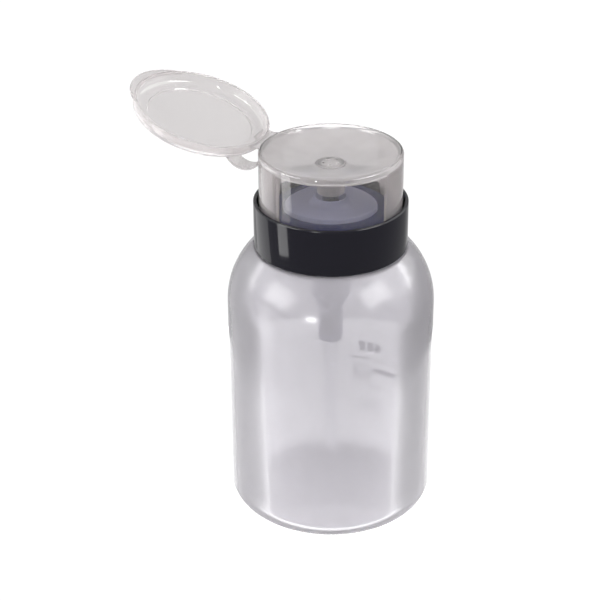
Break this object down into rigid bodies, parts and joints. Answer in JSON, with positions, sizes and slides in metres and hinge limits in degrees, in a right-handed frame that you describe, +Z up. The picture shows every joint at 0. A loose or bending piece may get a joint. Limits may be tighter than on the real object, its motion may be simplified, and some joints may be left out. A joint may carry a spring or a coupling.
{
  "type": "push-down liquid dispenser",
  "caption": "Round frosted bottle with a screw collar, a spring-loaded push-down dish pump and a flip lid; pressing the dish brings liquid up into it.",
  "frame": {"origin": "centre of the bottle's base, on the surface it stands on", "axes": "+Z up along the bottle's axis; the lid's hinge is on the -X side and the open lid points along -X"},
  "size_m": [0.1018, 0.066, 0.1366],
  "materials": {
    "frosted_bottle": "satin, translucent",
    "natural_plastic": "satin, milky",
    "tube_plastic": "satin, milky",
    "seal_plastic": "satin",
    "clear_plastic": "gloss, clear with a slight haze",
    "black_gloss": "gloss",
    "gasket_foam": "matt",
    "spring_steel": "bright drawn wire",
    "ball_steel": "polished"
  },
  "bodies": {
    "bottle": {"bottle": "frosted_bottle"},
    "pump": {"pump_housing": "natural_plastic", "neck_gasket": "gasket_foam", "pump_guide": "natural_plastic", "ball_cage": "natural_plastic", "dip_tube": "tube_plastic", "return_spring": "spring_steel"},
    "closure": {"closure": "natural_plastic", "collar": "black_gloss"},
    "inlet_ball": {"inlet_ball": "ball_steel"},
    "plunger": {"stem": "natural_plastic", "piston": "natural_plastic", "piston_seal": "seal_plastic"},
    "outlet_ball": {"outlet_ball": "ball_steel"},
    "head": {"push_head": "clear_plastic", "outlet_cap": "clear_plastic", "hinge_web": "clear_plastic", "strap_near": "clear_plastic", "strap_far": "clear_plastic"},
    "lid": {"lid": "clear_plastic"}
  },
  "joints": [
    {"name": "closure_lift", "type": "slide", "parent": "bottle", "child": "pump", "axis": [0, 0, 1], "range_m": [0, 0.006]},
    {"name": "closure_turn", "type": "hinge", "parent": "pump", "child": "closure", "pos_m": [0, 0, 0.0985], "axis": [0, 0, 1], "range_deg": [0, 540.1]},
    {"name": "head_press", "type": "slide", "parent": "pump", "child": "plunger", "axis": [0, 0, -1], "range_m": [0, 0.007], "stiffness_N_per_m": 600, "springref_m": -0.006, "deforming": ["return_spring"]},
    {"name": "head_turn", "type": "hinge", "parent": "plunger", "child": "head", "pos_m": [0, 0, 0.112], "axis": [0, 0, 1], "continuous": true},
    {"name": "lid_hinge", "type": "hinge", "parent": "head", "child": "lid", "pos_m": [-0.023, 0, 0.1225], "axis": [0, -1, 0], "range_deg": [-162, 0], "deforming": ["hinge_web", "strap_near", "strap_far"]},
    {"name": "inlet_ball_lift", "type": "slide", "parent": "pump", "child": "inlet_ball", "axis": [0, 0, 1], "range_m": [0, 0.0005]},
    {"name": "outlet_ball_lift", "type": "slide", "parent": "plunger", "child": "outlet_ball", "axis": [0, 0, 1], "range_m": [0, 0.0005]}
  ],
  "couplings": [
    {"joint": "closure_turn", "follows": "closure_lift", "rad_per_m": 1570.8}
  ]
}
